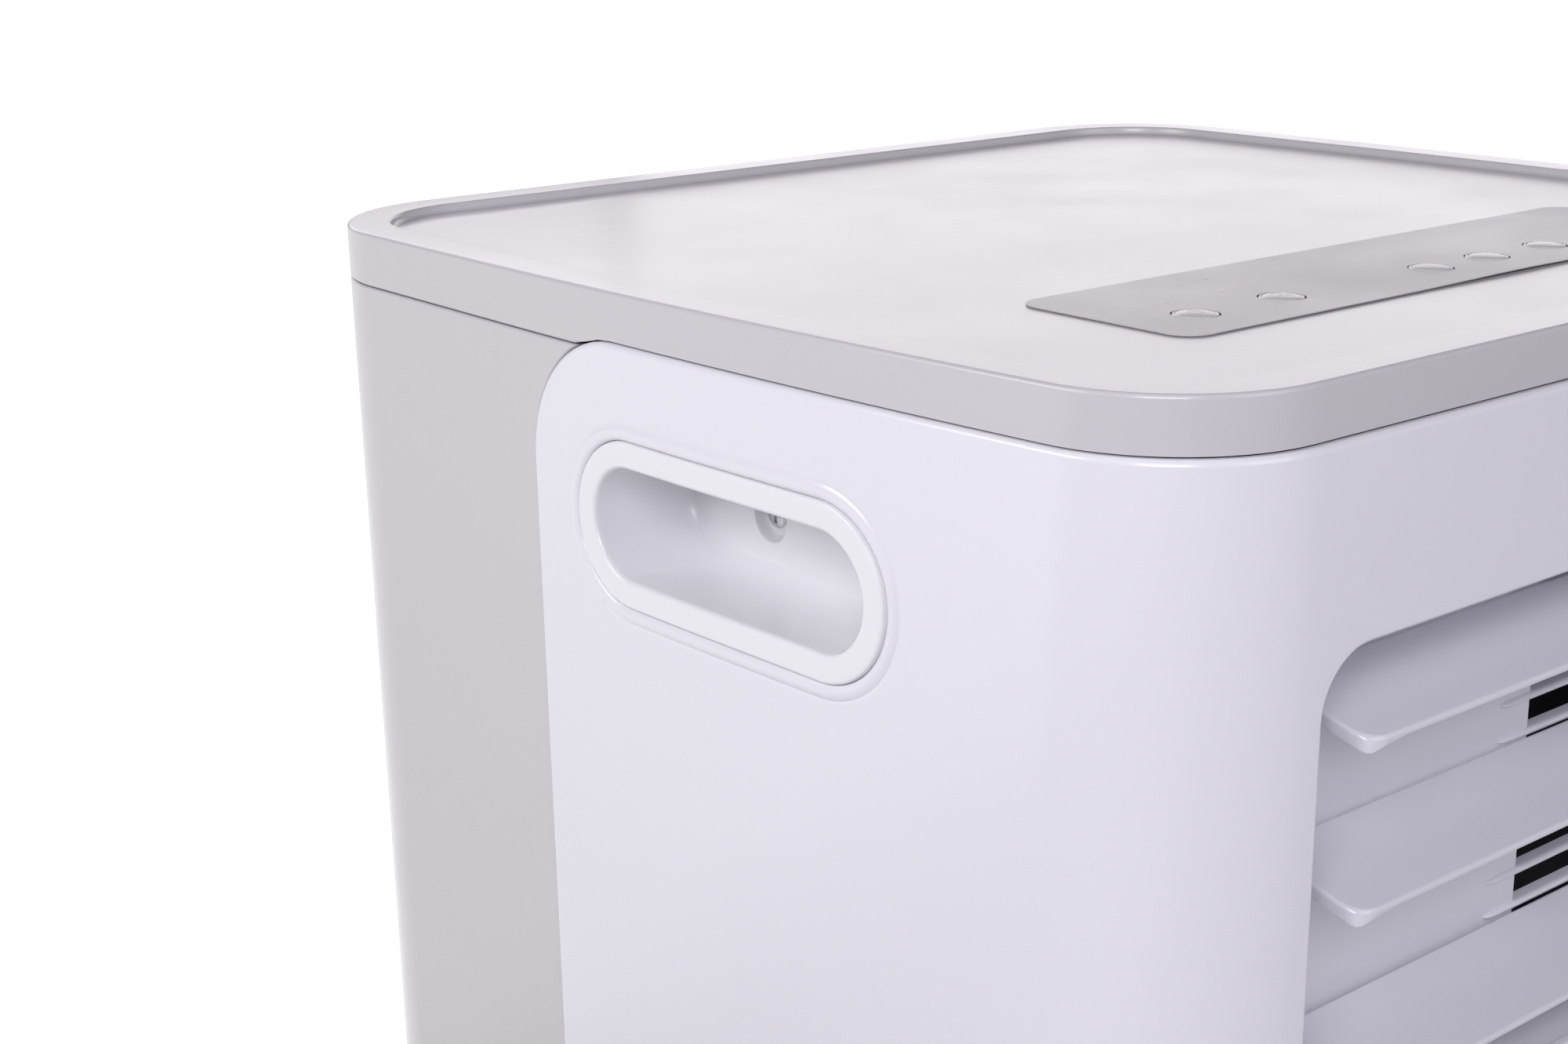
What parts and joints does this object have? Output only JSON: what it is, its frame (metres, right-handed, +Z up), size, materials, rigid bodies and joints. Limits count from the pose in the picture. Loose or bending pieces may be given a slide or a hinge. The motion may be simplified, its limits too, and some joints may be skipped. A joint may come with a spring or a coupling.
{
  "type": "portable air conditioner",
  "caption": "Free-standing air conditioner on casters: lid with control panel, side grips, swinging outlet louvres, rear intakes and exhaust collar.",
  "frame": {"origin": "on the floor, under the middle of the overall box, with the wheels on the floor", "axes": "+Z up; the front with the air outlet faces -Y; +X points right in a front view"},
  "size_m": [0.3468, 0.34, 0.7],
  "materials": {
    "white_gloss": "gloss moulded ABS, white",
    "grey_gloss": "gloss moulded ABS, warm light grey",
    "handle_white": "gloss moulded ABS, white",
    "louvre_white": "gloss moulded ABS, white",
    "grille_white": "gloss moulded ABS, white",
    "membrane_silver": "satin silver printed overlay",
    "button_silver": "glossy silver dome",
    "filter_mesh": "fine nylon mesh in a dark frame",
    "rubber_black": "matt rubber",
    "pan_dark": "matt black polypropylene",
    "duct_white": "matt white polystyrene",
    "duct_dark": "matt dark plastic",
    "caster_black": "matt nylon",
    "steel_zinc": "zinc plated",
    "sheet_steel": "galvanised sheet",
    "fin_aluminium": "bare aluminium fins",
    "compressor_black": "black enamel",
    "copper": "bare copper tube",
    "board_green": "solder mask",
    "display_black": "smoked display block"
  },
  "bodies": {
    "cabinet": {"lid": "grey_gloss", "front_shell": "white_gloss", "rear_shell": "grey_gloss", "base_pan": "pan_dark", "mid_deck": "sheet_steel", "left_handle": "handle_white", "right_handle": "handle_white", "handle_screws": "steel_zinc", "shell_screws": "steel_zinc", "outlet_grille": "grille_white", "swing_motor": "steel_zinc", "outlet_duct": "duct_dark", "control_membrane": "membrane_silver", "control_carrier": "duct_white", "control_board": "board_green", "display_module": "display_black", "exhaust_collar": "grey_gloss", "exhaust_duct": "duct_dark", "cord_gland": "rubber_black", "evaporator_coil": "fin_aluminium", "drain_tray": "duct_white", "evaporator_housing": "duct_dark", "evaporator_motor": "sheet_steel", "condenser_coil": "fin_aluminium", "condenser_housing": "duct_dark", "condenser_motor": "sheet_steel", "motor_brackets": "sheet_steel", "compressor": "compressor_black", "accumulator": "compressor_black", "compressor_feet": "rubber_black", "copper_pipes": "copper", "electrical_box": "sheet_steel", "run_capacitor": "duct_white"},
    "upper_louvre_body": {"upper_louvre": "louvre_white"},
    "middle_louvre_body": {"middle_louvre": "louvre_white"},
    "lower_louvre_body": {"lower_louvre": "louvre_white"},
    "link_body": {"louvre_link": "louvre_white"},
    "upper_intake": {"upper_intake_grille": "grey_gloss", "upper_filter": "filter_mesh"},
    "lower_intake": {"lower_intake_grille": "grey_gloss", "lower_filter": "filter_mesh"},
    "upper_plug": {"upper_drain_plug": "rubber_black"},
    "lower_plug": {"lower_drain_plug": "rubber_black"},
    "evaporator_fan": {"evaporator_wheel": "pan_dark"},
    "condenser_fan": {"condenser_wheel": "pan_dark"},
    "timer_button_body": {"timer_button": "button_silver"},
    "fan_button_body": {"fan_button": "button_silver"},
    "mode_button_body": {"mode_button": "button_silver"},
    "down_button_body": {"down_button": "button_silver"},
    "up_button_body": {"up_button": "button_silver"},
    "power_button_body": {"power_button": "button_silver"},
    "front_left_fork": {"front_left_caster": "caster_black"},
    "front_left_roller": {"front_left_wheel": "caster_black"},
    "front_right_fork": {"front_right_caster": "caster_black"},
    "front_right_roller": {"front_right_wheel": "caster_black"},
    "rear_left_fork": {"rear_left_caster": "caster_black"},
    "rear_left_roller": {"rear_left_wheel": "caster_black"},
    "rear_right_fork": {"rear_right_caster": "caster_black"},
    "rear_right_roller": {"rear_right_wheel": "caster_black"}
  },
  "joints": [
    {"name": "louvre_swing", "type": "hinge", "parent": "cabinet", "child": "upper_louvre_body", "pos_m": [0, -0.14679, 0.62914], "axis": [1, 0, 0], "range_deg": [-30, 30]},
    {"name": "middle_louvre_swing", "type": "hinge", "parent": "cabinet", "child": "middle_louvre_body", "pos_m": [0, -0.14679, 0.59094], "axis": [1, 0, 0], "range_deg": [-30, 30]},
    {"name": "lower_louvre_swing", "type": "hinge", "parent": "cabinet", "child": "lower_louvre_body", "pos_m": [0, -0.14679, 0.54534], "axis": [1, 0, 0], "range_deg": [-30, 30]},
    {"name": "link_pivot", "type": "hinge", "parent": "upper_louvre_body", "child": "link_body", "pos_m": [0.11375, -0.15746, 0.62648], "axis": [1, 0, 0], "range_deg": [-30, 30]},
    {"name": "timer_button_press", "type": "slide", "parent": "cabinet", "child": "timer_button_body", "axis": [0, 0, -1], "range_m": [0, 0.0008], "stiffness_N_per_m": 400},
    {"name": "fan_button_press", "type": "slide", "parent": "cabinet", "child": "fan_button_body", "axis": [0, 0, -1], "range_m": [0, 0.0008], "stiffness_N_per_m": 400},
    {"name": "mode_button_press", "type": "slide", "parent": "cabinet", "child": "mode_button_body", "axis": [0, 0, -1], "range_m": [0, 0.0008], "stiffness_N_per_m": 400},
    {"name": "down_button_press", "type": "slide", "parent": "cabinet", "child": "down_button_body", "axis": [0, 0, -1], "range_m": [0, 0.0008], "stiffness_N_per_m": 400},
    {"name": "up_button_press", "type": "slide", "parent": "cabinet", "child": "up_button_body", "axis": [0, 0, -1], "range_m": [0, 0.0008], "stiffness_N_per_m": 400},
    {"name": "power_button_press", "type": "slide", "parent": "cabinet", "child": "power_button_body", "axis": [0, 0, -1], "range_m": [0, 0.0008], "stiffness_N_per_m": 400},
    {"name": "upper_intake_pull", "type": "slide", "parent": "cabinet", "child": "upper_intake", "axis": [0, 1, 0], "range_m": [0, 0.08]},
    {"name": "lower_intake_pull", "type": "slide", "parent": "cabinet", "child": "lower_intake", "axis": [0, 1, 0], "range_m": [0, 0.08]},
    {"name": "upper_drain_pull", "type": "slide", "parent": "cabinet", "child": "upper_plug", "axis": [0, 1, 0], "range_m": [0, 0.03]},
    {"name": "lower_drain_pull", "type": "slide", "parent": "cabinet", "child": "lower_plug", "axis": [0, 1, 0], "range_m": [0, 0.03]},
    {"name": "evaporator_fan_spin", "type": "hinge", "parent": "cabinet", "child": "evaporator_fan", "pos_m": [0, 0.0365, 0.505], "axis": [0, 1, 0], "continuous": true},
    {"name": "condenser_fan_spin", "type": "hinge", "parent": "cabinet", "child": "condenser_fan", "pos_m": [0.042, 0.0365, 0.156], "axis": [0, 1, 0], "continuous": true},
    {"name": "front_left_swivel", "type": "hinge", "parent": "cabinet", "child": "front_left_fork", "pos_m": [-0.125, -0.115, 0.044], "axis": [0, 0, 1], "continuous": true},
    {"name": "front_left_roll", "type": "hinge", "parent": "front_left_fork", "child": "front_left_roller", "pos_m": [-0.116, -0.115, 0.019], "axis": [0, 1, 0], "continuous": true},
    {"name": "front_right_swivel", "type": "hinge", "parent": "cabinet", "child": "front_right_fork", "pos_m": [0.125, -0.115, 0.044], "axis": [0, 0, 1], "continuous": true},
    {"name": "front_right_roll", "type": "hinge", "parent": "front_right_fork", "child": "front_right_roller", "pos_m": [0.134, -0.115, 0.019], "axis": [0, 1, 0], "continuous": true},
    {"name": "rear_left_swivel", "type": "hinge", "parent": "cabinet", "child": "rear_left_fork", "pos_m": [-0.125, 0.115, 0.044], "axis": [0, 0, 1], "continuous": true},
    {"name": "rear_left_roll", "type": "hinge", "parent": "rear_left_fork", "child": "rear_left_roller", "pos_m": [-0.116, 0.115, 0.019], "axis": [0, 1, 0], "continuous": true},
    {"name": "rear_right_swivel", "type": "hinge", "parent": "cabinet", "child": "rear_right_fork", "pos_m": [0.125, 0.115, 0.044], "axis": [0, 0, 1], "continuous": true},
    {"name": "rear_right_roll", "type": "hinge", "parent": "rear_right_fork", "child": "rear_right_roller", "pos_m": [0.134, 0.115, 0.019], "axis": [0, 1, 0], "continuous": true}
  ],
  "couplings": [
    {"joint": "middle_louvre_swing", "follows": "louvre_swing", "ratio": 1},
    {"joint": "lower_louvre_swing", "follows": "louvre_swing", "ratio": 1},
    {"joint": "link_pivot", "follows": "louvre_swing", "ratio": -1}
  ]
}
